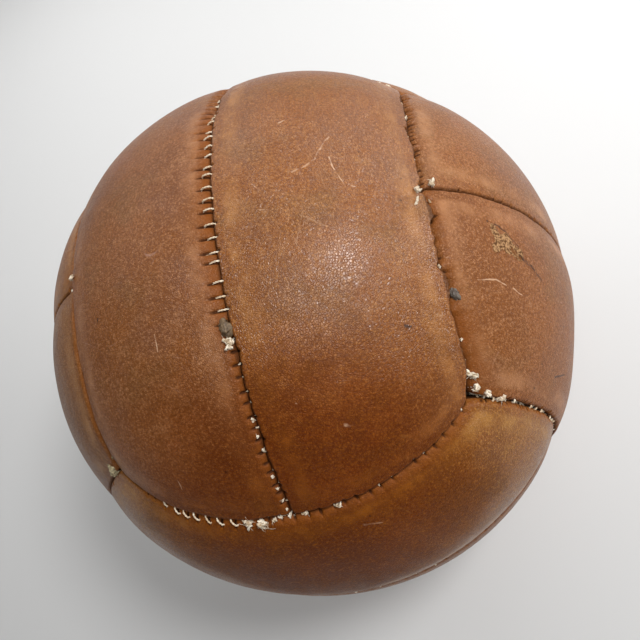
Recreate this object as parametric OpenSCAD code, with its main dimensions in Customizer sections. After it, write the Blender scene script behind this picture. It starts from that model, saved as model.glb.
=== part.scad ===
// Stuffed leather medicine ball: twelve hand-sewn strips in a six-face layout, two strips to a face.
// Every strip has its edges turned in, and the turned-in edges are sewn to each other.
// Millimetres, +Z up, origin under the middle of the flat that the ball rests on.

/* [Ball] */
// Outer diameter over the leather
ball_d = 240; // [200:1:280]
// How far the ball has settled onto the surface it rests on
rest_sink = 3.5; // [2:0.25:4]

/* [Leather] */
// Thickness of a strip
leather_t = 2.5; // [2:0.1:3]
// Depth of the turned-in edges, from the ball's surface
seam_depth = 10; // [9:0.5:13]
// Clearance between two turned-in edges that are sewn together
seam_gap = 0.3; // [0.2:0.1:0.6]
// Radius that is worn onto a strip's edge along its seams
edge_r = 2.2; // [1.5:0.1:2.4]

/* [Lining] */
// Thickness of the canvas behind each strip
lining_t = 0.8; // [0.5:0.1:1.2]

/* [Thread] */
// Thickness of the sewing thread
thread_d = 1; // [0.8:0.1:1.2]
// Distance from one stitch to the next
stitch_pitch = 5.1; // [4.5:0.1:8]
// Depth of the stitch line below the ball's surface
thread_depth = 7; // [6.8:0.1:8]
// Bare seam left at each end of a thread
thread_end_margin = 4; // [3:0.5:8]
// Diameter of a sewing knot or wax plug
knot_d = 4; // [3:0.1:6]

/* [Filling] */
// Diameter of the tied rag core
core_d = 110; // [60:1:150]
// Room that the stuffing leaves beside the turned-in edges for the thread
pad_clearance = 1.5; // [1.3:0.1:3]
// Room that the stuffing leaves below the turned-in edges
stuffing_gap = 0.3; // [0.2:0.1:1]

/* [Hidden] */
$fn = 96;
ball_r = ball_d / 2;
// Angle from a face's axis to its corners, and to both ends of its middle seam
corner_polar = atan(sqrt(2));
// Fraction of edge_r between the worn edge's centre and the surfaces that it runs into, so that it crosses them
edge_reach = 0.98;
flange_inset = seam_gap / 2;
inner_inset = flange_inset + leather_t;
pad_inset = inner_inset + pad_clearance;
// Half the length of a stitch, through both turned-in edges
stitch_reach = inner_inset + thread_d / 2;
stitch_r = ball_r - thread_depth;
bar_d = 0.8 * thread_d;
beyond = 2 * ball_d;
// Turn that keeps a sphere's poles clear of the edges that are cut on it
skew = [11, 23, 37];

// Each face: name, turns of 120 degrees about [1, 1, 1], which end of its axis, names of its two strips
FACES = [
    ["top", 0, 1, ["right", "left"]],
    ["bottom", 0, -1, ["right", "left"]],
    ["right", 1, 1, ["back", "front"]],
    ["left", 1, -1, ["back", "front"]],
    ["back", 2, 1, ["upper", "lower"]],
    ["front", 2, -1, ["upper", "lower"]],
];
// Names of the two neighbours that a face's strips run towards, by its number of turns
ENDS = [["back", "front"], ["top", "bottom"], ["right", "left"]];
SIDES = [1, -1];
FACE_HALVES = [for (f = FACES) for (h = [0, 1]) [f, h]];

STRIP_NAMES = [for (p = FACE_HALVES) str(p[0][0], "_strip_", p[0][3][p[1]])];
LINING_NAMES = [for (p = FACE_HALVES) str(p[0][0], "_lining_", p[0][3][p[1]])];
EDGE_THREAD_NAMES = [for (p = FACE_HALVES) str(p[0][0], "_", ENDS[p[0][1]][p[1]], "_seam_thread")];
MIDDLE_THREAD_NAMES = [for (f = FACES) str(f[0], "_middle_seam_thread")];
OTHER_NAMES = ["stuffing", "rag_core", "wax_plugs", "seam_knots"];

// Knots and wax plugs that lie in the seams: angle from +Z, then azimuth
SEAM_KNOTS = [[corner_polar, -43], [corner_polar, -135], [corner_polar, -99], [38, 0], [38, 180]];
WAX_PLUGS = [[21, -90], [43.5, -28.5]];

// Moves ball-centred geometry to where the ball rests
module on_rest() {
    translate([0, 0, ball_r - rest_sink]) children();
}

// Turns a shape made on the top face's positive side onto another face, and onto its other side.
// kept is the axis that a half turn leaves alone when only the face's own axis changes ends.
module on_face(face, side, kept) {
    other = [1, 1, 0] - kept;
    half_turn = face[2] * side > 0 ? (side > 0 ? [0, 0, 0] : other) : (side > 0 ? kept : [0, 0, 1]);
    rotate(a = 120 * face[1], v = [1, 1, 1])
        rotate(180 * half_turn)
            children();
}

// All that is above the rest flat, or above the same flat moved in by inset
module above_rest(inset) {
    translate([-beyond / 2, -beyond / 2, rest_sink - ball_r + inset]) cube(beyond);
}

// The ball's outer shape, shrunk by inset, with its rest flat
module ball(inset) {
    intersection() {
        sphere(r = ball_r - inset);
        above_rest(inset);
    }
}

// Solid cone about +Z from the ball's centre out through the corners, with its wall moved in by inset
module corner_cone(inset) {
    h = 1.5 * ball_r;
    translate([0, 0, inset / sin(corner_polar)])
        cylinder(h = h, r1 = 0, r2 = h * tan(corner_polar));
}

// Everything between the seams of the top face's right strip, kept inset away from each seam
module strip_space(inset) {
    difference() {
        intersection() {
            corner_cone(inset);
            translate([inset, -beyond / 2, -beyond / 2]) cube(beyond);
        }
        rotate([0, 90, 0]) corner_cone(-inset);
    }
}

// Flat cut, in a plane through the ball's centre with the seam along +X: all that the strip on the
// seam's +Y side loses there, which is its neighbour's space and its own worn edge
module seam_cut() {
    off = flange_inset + edge_reach * edge_r;
    along = sqrt(pow(ball_r - edge_reach * edge_r, 2) - off * off);
    past = ball_r + edge_r;
    translate([-beyond / 2, flange_inset - beyond]) square(beyond);
    difference() {
        polygon([[along, off], [along, -edge_r], [past, -edge_r], [past, past * off / along]]);
        translate([along, off]) circle(r = edge_r);
    }
}

// All that is within the seam at the corners' polar angle about +Z, with that seam's edge worn
module inside_end_seams() {
    rotate_extrude() difference() {
        circle(r = ball_r);
        translate([-beyond, -beyond / 2]) square(beyond);
        rotate(90 - corner_polar) seam_cut();
    }
}

// All that a strip loses at the seam at a polar angle about +Z; inner says that the strip is nearer the axis
module past_seam(polar, inner) {
    rotate_extrude() intersection() {
        rotate(90 - polar) mirror([0, inner ? 0 : 1]) seam_cut();
        translate([0, -beyond / 2]) square(beyond);
    }
}

// The top face's right strip: skin, turned-in edges and worn rims, put on its face and flattened at the rest
module strip(face, side) {
    difference() {
        intersection() {
            above_rest(0);
            on_face(face, side, [1, 0, 0]) difference() {
                inside_end_seams();
                rotate([0, 90, 0]) past_seam(corner_polar, false);
                rotate([0, 90, 0]) past_seam(90, true);
            }
        }
        intersection() {
            ball(leather_t);
            on_face(face, side, [1, 0, 0]) strip_space(inner_inset);
        }
        rotate(skew) sphere(r = ball_r - seam_depth);
    }
}

module leather_strip(face, side) {
    color("#9a5b36") on_rest() strip(face, side);
}

// Canvas behind a strip, between its turned-in edges
module lining(face, side) {
    color("#c9b48a") on_rest() difference() {
        intersection() {
            ball(leather_t);
            on_face(face, side, [1, 0, 0]) strip_space(inner_inset);
        }
        ball(leather_t + lining_t);
    }
}

// A seam's thread about +Z, its middle over +Y: a run behind each turned-in edge, and a bar for each stitch
module seam_thread(polar, span) {
    arc_r = stitch_r * sin(polar);
    margin = thread_end_margin / arc_r * 180 / PI;
    sewn = span - 2 * margin;
    count = round(sewn * PI / 180 * arc_r / stitch_pitch);
    for (s = SIDES)
        rotate_extrude(angle = sewn, start = 90 - sewn / 2)
            rotate(90 - polar) translate([stitch_r, s * stitch_reach]) circle(d = thread_d);
    for (i = [0 : count - 1])
        rotate(90 + sewn * ((i + 0.5) / count - 0.5))
            rotate([0, polar - 90, 0]) translate([stitch_r, 0, -stitch_reach])
                cylinder(h = 2 * stitch_reach, d = bar_d);
}

module edge_seam_thread(face, side) {
    color("#e3d5b4") on_rest() on_face(face, side, [0, 1, 0]) seam_thread(corner_polar, 90);
}

module middle_seam_thread(face) {
    color("#e3d5b4") on_rest() on_face(face, 1, [0, 1, 0])
        rotate(a = 120, v = [1, 1, 1]) seam_thread(90, 2 * corner_polar);
}

// Hair stuffing: a ball inside the turned-in edges, with a raised pad behind each strip
module stuffing() {
    color("#7b6a4f") on_rest() difference() {
        union() {
            rotate(skew) sphere(r = ball_r - seam_depth - stuffing_gap);
            for (f = FACES, s = SIDES) intersection() {
                ball(leather_t + lining_t);
                on_face(f, s, [1, 0, 0]) strip_space(pad_inset);
            }
        }
        sphere(d = core_d);
    }
}

module rag_core() {
    color("#a39a8a") on_rest() sphere(d = core_d);
}

// Knots sunk into the seams at the given places
module knots(places) {
    for (p = places)
        rotate([0, p[0], p[1]]) translate([0, 0, ball_r - knot_d / 2]) sphere(d = knot_d);
}

module wax_plugs() {
    color("#8f9482") on_rest() knots(WAX_PLUGS);
}

module seam_knots() {
    color("#e3d5b4") on_rest() knots(SEAM_KNOTS);
}

for (i = [0 : len(FACE_HALVES) - 1]) {
    face = FACE_HALVES[i][0];
    side = SIDES[FACE_HALVES[i][1]];
    leather_strip(face, side);
    lining(face, side);
    edge_seam_thread(face, side);
}
for (i = [0 : len(FACES) - 1])
    middle_seam_thread(FACES[i]);
stuffing();
rag_core();
wax_plugs();
seam_knots();
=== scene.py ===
"""Looks of the stuffed leather ball: twelve leather strips with rolled, puckered seams, the thread that sews them,
knots and wax in the seams, and the lining, hair stuffing and rag core inside. Geometry is worked out in
millimetres around the ball's centre, and put in the frame in metres."""

import math

import bpy
import numpy as np
from mathutils import Matrix, Vector, noise


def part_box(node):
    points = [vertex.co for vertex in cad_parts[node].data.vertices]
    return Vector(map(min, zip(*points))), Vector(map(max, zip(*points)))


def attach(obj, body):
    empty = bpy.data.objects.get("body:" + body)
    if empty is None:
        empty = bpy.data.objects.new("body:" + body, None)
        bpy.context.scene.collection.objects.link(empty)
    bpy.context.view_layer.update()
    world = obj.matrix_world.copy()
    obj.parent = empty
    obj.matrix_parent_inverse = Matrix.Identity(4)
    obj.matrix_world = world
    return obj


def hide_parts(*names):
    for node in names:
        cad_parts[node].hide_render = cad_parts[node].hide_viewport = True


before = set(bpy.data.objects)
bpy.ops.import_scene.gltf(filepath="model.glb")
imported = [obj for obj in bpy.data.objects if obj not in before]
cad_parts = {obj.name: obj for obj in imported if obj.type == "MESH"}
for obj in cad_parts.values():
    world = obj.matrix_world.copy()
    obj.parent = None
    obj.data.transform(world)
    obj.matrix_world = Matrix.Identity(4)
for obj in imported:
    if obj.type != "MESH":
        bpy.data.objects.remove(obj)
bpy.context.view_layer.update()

# ---------------- the ball's own sizes, in millimetres and degrees

MM = 0.001
BALL_R = 120.0
LEATHER_T = 2.5
LINING_T = 0.8
THREAD_R = 0.34
THREAD_END_MARGIN = 4.0  # from a seam's end to its first stitch
CORNER = math.degrees(math.atan(math.sqrt(2)))  # polar angle of a face's corners and of its middle seam's ends
STRIP_ANGLE = 90 - CORNER
STRIP_W = BALL_R * math.radians(STRIP_ANGLE)

core_low, core_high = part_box("rag_core")
CENTRE = np.array((core_low + core_high) / 2) / MM  # the ball's centre in the frame

FACES = {
    "top": (2, 1, ("right", "left")),
    "bottom": (2, -1, ("right", "left")),
    "right": (0, 1, ("back", "front")),
    "left": (0, -1, ("back", "front")),
    "back": (1, 1, ("upper", "lower")),
    "front": (1, -1, ("upper", "lower")),
}
END_NAMES = {2: ("back", "front"), 0: ("top", "bottom"), 1: ("right", "left")}


def face_axes(face):
    """A face's outward axis, the axis that its strips run along, and the axis across them."""
    own, end, _ = FACES[face]
    unit = np.eye(3)
    return end * unit[own], unit[(own + 2) % 3], unit[(own + 1) % 3]


def smooth(x, low=0.0, high=1.0):
    t = np.clip((np.asarray(x, float) - low) / (high - low), 0, 1)
    return t * t * (3 - 2 * t)


# ---------------- seam styles

# For side a (a face's positive strip, or the face whose strips end at the seam) and side b (the other):
# gap from the seam's line to the turned-in edge, width and drop of the rolled shoulder, depth and reach of a
# stitch's pucker, how much unworn orange the shoulder shows, how far the side stands proud near the seam, and
# where the thread goes in. Then how much thread shows (0 to 1), its slant along the seam, how wavy the lips are,
# and the stitches' pitch.
FIELDS = (
    "gap_a roll_a drop_a pucker_a reach_a orange_a lift_a hold_a "
    "gap_b roll_b drop_b pucker_b reach_b orange_b lift_b hold_b show slant wavy pitch"
).split()
STYLES = {
    "ladder": (0.08, 1.1, 1.0, 0.45, 0.8, 0.1, 0.2, 0.7,
        0.16, 7.0, 2.0, 1.05, 7.0, 1, -0.1, 3.5, 1, -0.3, 0.25, 5.1),
    "worn": (0.3, 1.4, 1.5, 0.4, 1.0, 0.1, 0.1, 0.3,
        0.5, 4.4, 2.0, 0.8, 4.6, 0.4, 0, 1.8, 0.45, 0, 0.5, 3.4),
    "crease": (0.12, 1.4, 1.4, 0.4, 0.9, 0.2, 0.1, 0.3,
        0.22, 3.4, 1.8, 0.8, 2.8, 0.9, 0, 1.1, 0.5, 0.3, 0.5, 4.4),
    "slanted": (0.12, 1.6, 1.2, 0.3, 0.8, 0.2, 0.2, 0.3,
        0.25, 4.4, 1.8, 1.15, 5.0, 0.9, -0.2, 2.4, 1, -2.4, 0.25, 4.7),
    "holes": (0.2, 1.4, 1.1, 0.3, 0.8, 0.2, 0.1, 0.4,
        0.25, 2.6, 1.3, 1.0, 1.7, 0.6, -0.1, 0.9, 0.1, -1.0, 0.25, 4.7),
    "tight": (0.12, 1.2, 0.7, 0.15, 0.8, 0.1, 0.0, 0.3,
        0.12, 1.3, 0.8, 0.2, 1.0, 0.25, 0, 0.5, 0, 0.1, 0.35, 4.7),
    "open": (0.14, 1.4, 1.4, 0.45, 1.0, 0.2, 0.3, 0.3,
        0.3, 4.6, 2.1, 0.6, 2.2, 0.9, -0.1, 0.7, 0.5, 0.4, 0.5, 4.6),
    "notched": (0.9, 4.4, 3.0, 0.42, 2.0, 0.6, -0.2, 0.8,
        0, 1.0, 1.3, 0.15, 0.6, 0, 0.5, 0.1, 0.1, 0.2, 1.9, 5.2),
    "lapped": (0.75, 8.4, 3.7, 0.1, 2.0, 1, -0.3, 1.0,
        -0.1, 1.1, 1.3, 0.0, 0.6, 0, 0.9, 0.1, 0, 0.2, 0.7, 5.5),
    "puckered": (0.7, 2.8, 2.3, 0.6, 2.6, 0.2, -0.2, 0.9,
        0.1, 1.1, 1.4, 0.3, 0.9, 0, 0.4, 0.1, 0.15, 0.2, 0.9, 2.5),
    "thin": (0.12, 1.4, 1.0, 0.4, 1.3, 0.3, 0.1, 0.5,
        0.12, 1.3, 1.0, 0.15, 1.0, 0.2, 0.1, 0.5, 0.1, 0.1, 0.3, 4.4),
    "smooth": (0.5, 2.4, 2.1, 0.1, 1.4, 0.7, 0, 0.9,
        0.3, 1.6, 1.5, 0.1, 0.8, 0.3, 0.2, 0.6, 0, 0.1, 0.35, 6),
    "dense": (0.35, 2.2, 1.7, 0.5, 1.3, 0.7, 0, 0.6,
        0.25, 1.6, 1.6, 0.4, 1.1, 0.3, 0.1, 0.5, 0.6, 0.1, 0.3, 2.5),
}
# Along each seam, from its most negative angle to its most positive: angles and the style at each. Between two
# angles one style blends into the next.
SEAM_STYLES = {
    "top_middle": [
        (-55, "crease"), (-22.5, "crease"), (-20.5, "ladder"), (23, "ladder"), (27, "worn"), (55, "worn")
    ],
    "top_front": [
        (-45, "tight"), (-39, "tight"), (-36, "holes"), (-32, "holes"),
        (-29.5, "slanted"), (-13, "slanted"), (-9, "open"), (45, "open"),
    ],
    "right_top": [
        (-45, "lapped"), (-30, "lapped"), (-22, "notched"), (-2, "notched"), (4, "puckered"), (45, "puckered")
    ],
    "right_middle": [(-55, "thin"), (55, "thin")],
    "front_right": [(-45, "dense"), (45, "dense")],
    "left_top": [(-45, "smooth"), (-3, "smooth"), (3, "puckered"), (45, "puckered")],
    "left_middle": [(-55, "thin"), (55, "thin")],
    "front_left": [(-45, "crease"), (45, "thin")],
    "top_back": [(-45, "crease"), (-10, "open"), (45, "slanted")],
    "right_bottom": [(-45, "puckered"), (45, "crease")],
    "left_bottom": [(-45, "crease"), (45, "open")],
    "back_right": [(-45, "thin"), (45, "puckered")],
    "back_left": [(-45, "dense"), (45, "crease")],
    "bottom_front": [(-45, "crease"), (45, "thin")],
    "bottom_back": [(-45, "thin"), (45, "crease")],
    "front_middle": [(-55, "crease"), (0, "ladder"), (55, "crease")],
    "back_middle": [(-55, "ladder"), (10, "crease"), (55, "crease")],
    "bottom_middle": [(-55, "crease"), (55, "crease")],
}
# Waves of a seam's line as it wanders: length and height in millimetres
STRAY_WAVES = ((26.0, 0.5), (14.0, 0.36), (7.3, 0.2), (3.9, 0.12))
PITCH_SCATTER = 0.10  # of a stitch's place, in pitches
STRENGTH_SPREAD = 0.28  # of how hard a stitch pulls, around 1


class Seam:
    """A seam as an arc on the ball. Angles run along it in degrees from its middle; across is towards side a."""

    def __init__(self, name, thread_node, pole, middle, half_span, polar):
        self.name, self.thread_node = name, thread_node
        self.pole, self.middle, self.half_span = pole, middle, half_span
        self.along = np.cross(pole, middle)
        self.sin, self.cos = math.sin(math.radians(polar)), math.cos(math.radians(polar))
        self.arc_r = BALL_R * self.sin
        rng = np.random.default_rng(100 + sorted(SEAM_STYLES).index(name))
        self.keys, styles = zip(*SEAM_STYLES[name])
        self.table = np.array([STYLES[style] for style in styles])
        fine = np.linspace(-1, 1, 2001) * (half_span - math.degrees(THREAD_END_MARGIN / self.arc_r))
        passed = np.cumsum(math.radians(fine[1] - fine[0]) * self.arc_r / self.field("pitch", fine))
        count = int(passed[-1])
        wanted = (np.arange(count) + 0.5) * passed[-1] / count + rng.normal(0, PITCH_SCATTER, count)
        self.stitches = np.interp(wanted, passed, fine)
        self.strength = np.clip(rng.normal(1, STRENGTH_SPREAD, count), 0.3, 1.6)
        self.wave_phase = rng.uniform(0, 2 * math.pi, 6)

    def field(self, name, angle):
        return np.interp(angle, self.keys, self.table[:, FIELDS.index(name)])

    def wander(self, angle):
        """How far the seam's line strays towards side a, in millimetres."""
        s = np.radians(np.asarray(angle, float)) * self.arc_r
        waves = zip(STRAY_WAVES, self.wave_phase)
        stray = sum(h * np.sin(2 * math.pi * s / length + phase) for (length, h), phase in waves)
        ends = smooth(self.half_span - np.abs(angle), 0, 4)
        return stray * self.field("wavy", angle) * ends

    def nearest_stitch(self, angle):
        """Distance along the seam to the nearest stitch, in millimetres, and that stitch's strength."""
        middles = (self.stitches[1:] + self.stitches[:-1]) / 2
        i = np.searchsorted(middles, angle)
        away = np.radians(np.asarray(angle) - self.stitches[i]) * self.arc_r
        return np.abs(away), self.strength[i]

    def point(self, angle, across, height):
        """The place, from the ball's centre, at an angle along, a distance across, and a height over the ball."""
        a, x = np.radians(angle)[..., None], (np.asarray(across, float) / BALL_R)[..., None]
        out = np.cos(a) * self.middle + np.sin(a) * self.along
        line = self.cos * self.pole + self.sin * out
        side = self.sin * self.pole - self.cos * out
        return (BALL_R + np.asarray(height, float)[..., None]) * (np.cos(x) * line + np.sin(x) * side)


def make_seams():
    seams = {}
    for face, (own, end, _) in FACES.items():
        out, along, across = face_axes(face)
        name = face + "_middle"
        seams[name] = Seam(name, name + "_seam_thread", across, out, CORNER, 90)
        if np.dot(seams[name].along, along) < 0:
            seams[name].along = along
        for sign, towards in zip((1, -1), END_NAMES[own]):
            name = f"{face}_{towards}"
            seam = Seam(name, name + "_seam_thread", out, sign * along, 45, CORNER)
            seam.along = across
            seams[name] = seam
    return seams


SEAMS = make_seams()

# ---------------- the ball's uneven surface

# Bulges and hollows of the stuffing: polar angle, azimuth, spread in degrees, height in millimetres
LUMPS = [
    (75, -50, 22, 1.6),
    (95, -15, 12, -1.2),
    (40, 130, 20, 0.8),
    (60, -135, 14, -0.9),
    (95, -85, 25, 0.7),
    (30, -30, 18, 0.5),
]
# Smaller waves all over: the way each runs, and its height in millimetres
WAVES = [(np.random.default_rng(7 + i).normal(0, 1, 3), 0.16 / (1 + 0.25 * i)) for i in range(7)]
PILLOW_DEPTH = 1.5  # a panel's edge below its middle
PILLOW_REACH = 11.0
REST_SOFT = 0.6  # how softly the ball turns flat where it rests


def polar_direction(polar, azimuth):
    p, a = math.radians(polar), math.radians(azimuth)
    return np.array([math.sin(p) * math.cos(a), math.sin(p) * math.sin(a), math.cos(p)])


def unevenness(n):
    """Height of the stuffed ball over a true sphere, in millimetres, for unit directions n."""
    h = np.zeros(n.shape[:-1])
    for polar, azimuth, spread, height in LUMPS:
        angle = np.degrees(np.arccos(np.clip(n @ polar_direction(polar, azimuth), -1, 1)))
        h += height * np.exp(-((angle / spread) ** 2))
    for i, (k, amp) in enumerate(WAVES):
        k = k / np.linalg.norm(k)
        h += amp * np.sin((5 + 2.3 * i) * (n @ k) + 1.7 * i)
    return h


def settle(p, floor=0.0):
    """Frame millimetres from ball-centred ones, flattened softly where the ball rests."""
    q = p + CENTRE
    low = q[..., 2] - floor
    pressed = REST_SOFT * np.log1p(np.exp(np.minimum(low, 4 * REST_SOFT) / REST_SOFT))
    q[..., 2] = floor + np.where(low > 4 * REST_SOFT, low, pressed)
    return q


# ---------------- meshes


def mesh_object(name, verts_mm, faces, material, attributes=None):
    mesh = bpy.data.meshes.new(name)
    mesh.from_pydata((np.asarray(verts_mm) * MM).tolist(), [], faces)
    mesh.polygons.foreach_set("use_smooth", [True] * len(mesh.polygons))
    for key, values in (attributes or {}).items():
        mesh.attributes.new(key, "FLOAT", "POINT").data.foreach_set("value", np.asarray(values, np.float32))
    mesh.materials.append(material)
    mesh.update()
    return placed(name, mesh)


def placed(name, data):
    """A new object in the scene for a mesh, camera or light."""
    obj = bpy.data.objects.new(name, data)
    bpy.context.scene.collection.objects.link(obj)
    return obj


def hand_in(obj, slot_name, *nodes):
    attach(obj, "root")
    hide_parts(*nodes)


def bands(rows, cols, start=0):
    """Quads between the rows of a grid that closes on itself across its columns."""
    i, j = start + np.arange(rows - 1)[:, None] * cols, np.arange(cols)[None, :]
    k = (j + 1) % cols
    return np.stack([i + j, i + cols + j, i + cols + k, i + k], -1).reshape(-1, 4).tolist()


def rings(polar, cols):
    """Unit directions: a row at each polar angle, and cols round the axis."""
    p, a = polar[:, None], 2 * math.pi * np.arange(cols) / cols
    return np.stack([np.sin(p) * np.cos(a), np.sin(p) * np.sin(a), np.cos(p) * np.ones(cols)], -1)


def on_ball(n, height, floor=0.0):
    """Frame millimetres of places over the ball, for unit directions n."""
    return settle(((BALL_R + height)[..., None] * n).reshape(-1, 3), floor)


def looks_in(corners, centre=0.0):
    a, b, c = corners[:3]
    return np.cross(b - a, c - a) @ (a - centre) < 0


def around(rows, cols):
    """A grid's border, once round: the row and the column of each place."""
    r, c = np.arange(rows - 1), np.arange(cols - 1)
    r_all = np.r_[0 * c, r, 0 * c + rows - 1, rows - 1 - r]
    return r_all, np.r_[c, 0 * r + cols - 1, cols - 1 - c, 0 * r]


# A strip's grid: lines down its rolled shoulder, then lines out to EDGE millimetres from the seam, then PANEL
# columns over the middle, each cut in SPLIT near the ends, and rows between the ends' edges
ROLL = 7
FINE = 16
EDGE_LINES = ROLL + FINE
EDGE = 10.0
PANEL = 24
SPLIT = 5
MID_ROWS = 500
FLANGE_HEIGHTS = (0.8, 2.2, 4.2)  # how far the turned-in edge goes down, in three steps
INNER_STEP = 8  # lines of the outer grid to one of the flesh side's
FLESH_INSET = LEATHER_T + 0.2
GROOVE_FULL = 0.9  # a pucker this deep is all groove, in millimetres
# Half widths along the seam of a stitch's tug on the edge, slot, gather round the slot, and hole, in millimetres
TUG, SLOT, GATHER, HOLE = 1.1, 0.38, 1.3, 0.45


def edge_positions(gap, roll):
    """Distances from a seam's line of the grid lines beside it: down the rolled shoulder, then out to EDGE."""
    theta = np.linspace(0, math.pi / 2, ROLL + 1)[:-1]
    rolled = gap[..., None] + roll[..., None] * (1 - np.cos(theta))
    f = (np.arange(FINE) / FINE) ** 1.25
    flat = (gap + roll)[..., None] * (1 - f) + EDGE * f
    return np.concatenate([rolled, flat], axis=-1)


# How far a strip's corner is rounded off, in millimetres, where it is more than a little:
# the seam, the side, and which of the seam's ends
ROUNDED = {
    ("right_top", "b", -1): 3.0,
    ("top_front", "a", 1): 2.2,
    ("front_right", "a", 1): 1.6,
    ("left_top", "b", -1): 1.4,
}
ROUNDED_LITTLE = 0.5


class Side:
    """One strip's side of a seam: the fields that hold for it."""

    def __init__(self, seam, letter):
        self.seam, self.letter = seam, letter
        self.sign = 1 if letter == "a" else -1

    def get(self, name, angle):
        return self.seam.field(f"{name}_{self.letter}", angle)

    def lip(self, angle):
        """Distance from the seam's true line to this side's turned-in edge."""
        near, strength = self.seam.nearest_stitch(angle)
        pulled = 0.18 * strength * np.exp(-((near / TUG) ** 2)) * self.get("pucker", angle)
        to_corner = np.radians(np.maximum(self.seam.half_span - np.abs(angle), 0)) * self.seam.arc_r
        first, last = (ROUNDED.get((self.seam.name, self.letter, end), ROUNDED_LITTLE) for end in (-1, 1))
        rounding = np.where(np.asarray(angle) > 0, last, first)
        cut_back = rounding * np.exp(-((to_corner / (2.2 * rounding)) ** 1.5))
        return self.get("gap", angle) + self.sign * self.seam.wander(angle) + pulled + cut_back

    def drop(self, angle, distance):
        """How far the surface lies below the ball by its shape, and by its stitches, and the shoulder's part."""
        x = distance - self.lip(angle)
        roll, fall = self.get("roll", angle), self.get("drop", angle)
        t = np.clip(1 - x / roll, 0, 1)
        shoulder = fall * (1 - np.sqrt(1 - t * t))
        near, strength = self.seam.nearest_stitch(angle)
        pucker, reach = self.get("pucker", angle) * strength, self.get("reach", angle)
        slot = pucker * np.exp(-((near / SLOT) ** 2)) * (1 - smooth(x, 0.5 * reach, reach))
        gather = 0.22 * pucker * np.exp(-((near / GATHER) ** 2)) * (1 - smooth(x, 0.2 * reach, 1.4 * reach))
        hold = self.get("hold", angle)
        hole = 0.8 * strength * (pucker > 0.4) * np.exp(-((near / HOLE) ** 2) - (((x - hold) / 0.7) ** 2))
        pillow = PILLOW_DEPTH * np.exp(-((np.maximum(x, 0) / PILLOW_REACH) ** 1.4))
        lift = self.get("lift", angle) * np.exp(-((np.maximum(x, 0) / 7.0) ** 2))
        return shoulder + pillow - lift, slot + gather + hole, shoulder

    def orange(self, angle, distance):
        x = np.maximum(distance - self.lip(angle), 0)
        return self.get("orange", angle) * np.exp(-((x / (0.7 * self.get("roll", angle) + 0.6)) ** 2))


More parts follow.
